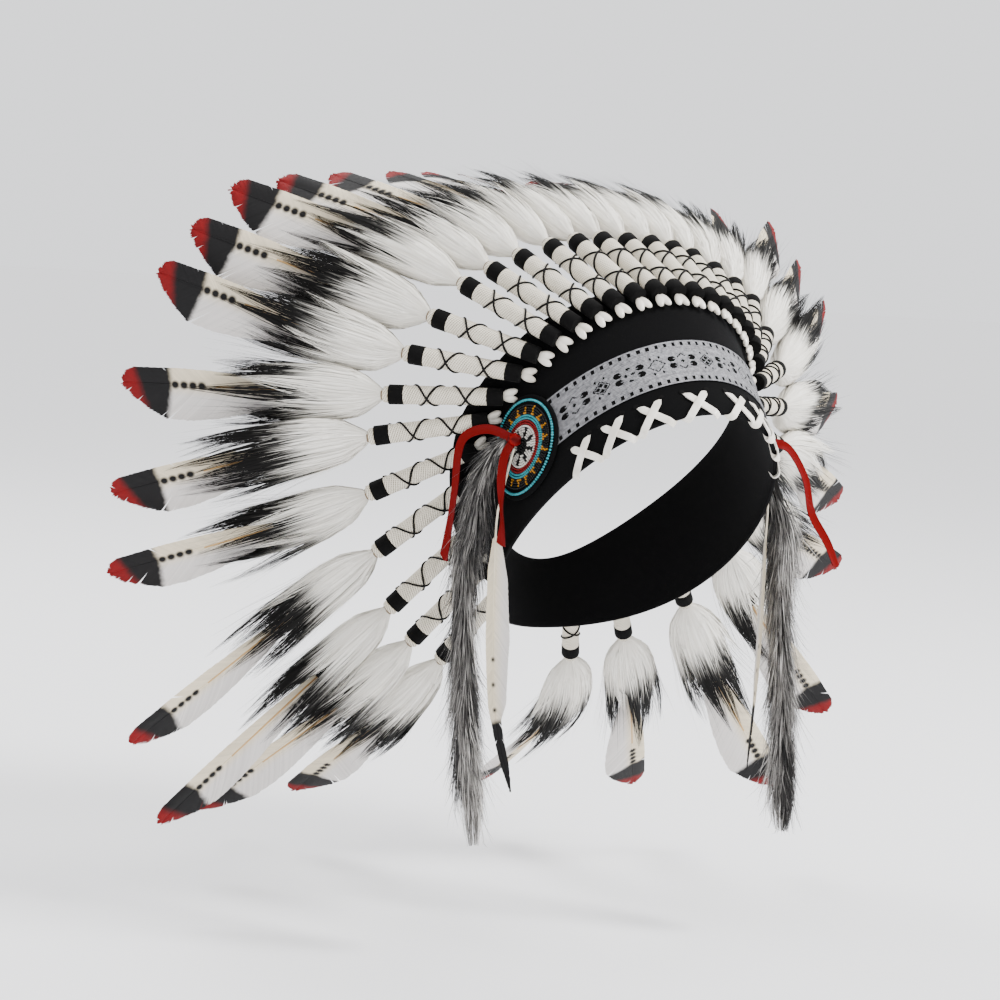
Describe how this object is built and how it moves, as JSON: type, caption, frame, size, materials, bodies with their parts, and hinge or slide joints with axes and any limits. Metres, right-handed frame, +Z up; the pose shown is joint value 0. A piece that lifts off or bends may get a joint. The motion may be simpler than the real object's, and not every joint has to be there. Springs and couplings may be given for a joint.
{
  "type": "feathered headdress",
  "caption": "Fan-shaped feather headdress on a black felt headband, with laced brow edge, woven trim, beaded rosettes, fur tails, hanging feathers and red ribbon ties.",
  "frame": {"origin": "centre of the rim that the head goes into, where the headdress sits", "axes": "+Z up; the wearer faces -Y; +X is the wearer's left"},
  "size_m": [0.5946, 0.3984, 0.4647],
  "materials": {
    "black_felt": "matt black wool felt",
    "feather": "cream feather and fur, black tips",
    "silver_trim": "silver-grey woven ribbon",
    "white_thong": "smooth white leather thong",
    "glass_beads": "opaque glass seed beads",
    "red_ribbon": "red satin ribbon",
    "grey_fur": "agouti grey fur"
  },
  "bodies": {
    "root": {"brow_trim": "silver_trim", "drop_feather_left": "feather", "drop_feather_right": "feather", "feather_01": "feather", "feather_02": "feather", "feather_03": "feather", "feather_04": "feather", "feather_05": "feather", "feather_06": "feather", "feather_07": "feather", "feather_08": "feather", "feather_09": "feather", "feather_10": "feather", "feather_11": "feather", "feather_12": "feather", "feather_13": "feather", "feather_14": "feather", "feather_15": "feather", "feather_16": "feather", "feather_17": "feather", "feather_18": "feather", "feather_19": "feather", "feather_20": "feather", "feather_21": "feather", "feather_22": "feather", "feather_23": "feather", "feather_24": "feather", "feather_25": "feather", "feather_26": "feather", "feather_27": "feather", "feather_28": "feather", "feather_29": "feather", "feather_30": "feather", "feather_31": "feather", "fur_tail_left": "grey_fur", "fur_tail_right": "grey_fur", "headband": "black_felt", "lacing_1": "white_thong", "lacing_2": "white_thong", "lacing_3": "white_thong", "lacing_4": "white_thong", "lacing_5": "white_thong", "lacing_6": "white_thong", "lacing_7": "white_thong", "lacing_8": "white_thong", "ribbon_tie_left": "red_ribbon", "ribbon_tie_right": "red_ribbon", "rosette_beadwork_left": "glass_beads", "rosette_beadwork_right": "glass_beads", "rosette_felt_left": "black_felt", "rosette_felt_right": "black_felt"}
  },
  "joints": []
}
